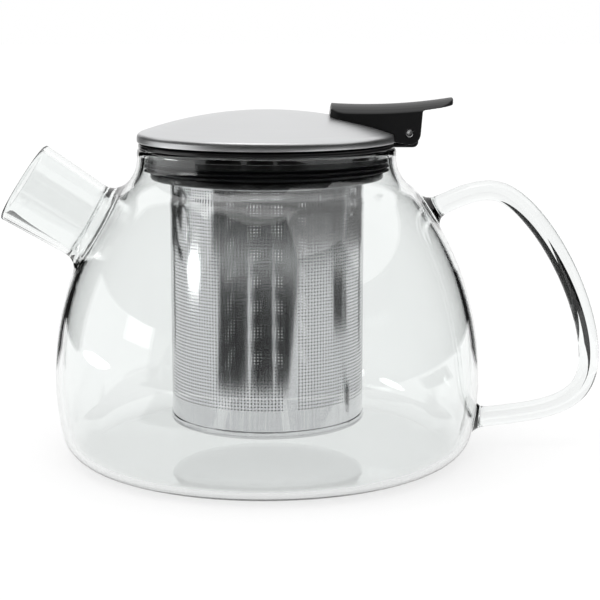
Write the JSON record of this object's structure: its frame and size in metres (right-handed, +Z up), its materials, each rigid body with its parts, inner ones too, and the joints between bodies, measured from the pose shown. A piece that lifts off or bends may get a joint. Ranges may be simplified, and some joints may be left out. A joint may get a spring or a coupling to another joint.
{
  "type": "teapot",
  "caption": "Clear glass teapot with a short spout and a glass rod handle, a lift-out steel strainer hung in a black collar, and a hinged steel lid opened by a thumb lever.",
  "frame": {"origin": "on the pot's axis, at the underside of the glass that rests on the table", "axes": "+Z up along the pot's axis, +X towards the handle, -X towards the spout, so +Y is the far side when the spout is on the left"},
  "size_m": [0.2024, 0.1438, 0.1205],
  "materials": {
    "glass": "clear polished borosilicate glass",
    "collar_black": "black moulded polypropylene",
    "lever_black": "black satin moulding",
    "silicone": "black silicone",
    "sieve_steel": "polished stainless sheet",
    "brushed_dome": "radially brushed stainless",
    "bright_steel": "bright turned steel"
  },
  "bodies": {
    "glass": {"glass_body": "glass", "glass_spout": "glass", "glass_handle": "glass"},
    "infuser": {"collar": "collar_black", "seal_ring": "silicone", "keeper_ring": "collar_black", "sieve_rim_ring": "sieve_steel", "sieve_wall_tube": "sieve_steel", "sieve_cup": "sieve_steel"},
    "lid": {"lid_dome": "brushed_dome", "lid_liner": "collar_black", "thumb_lever": "lever_black", "hinge_pin": "bright_steel", "lever_screws": "bright_steel"}
  },
  "joints": [
    {"name": "infuser_lift", "type": "slide", "parent": "glass", "child": "infuser", "axis": [0, 0, 1], "range_m": [0, 0.1]},
    {"name": "lid_hinge", "type": "hinge", "parent": "infuser", "child": "lid", "pos_m": [0.047, 0, 0.1092], "axis": [0, 1, 0], "range_deg": [0, 85]}
  ]
}
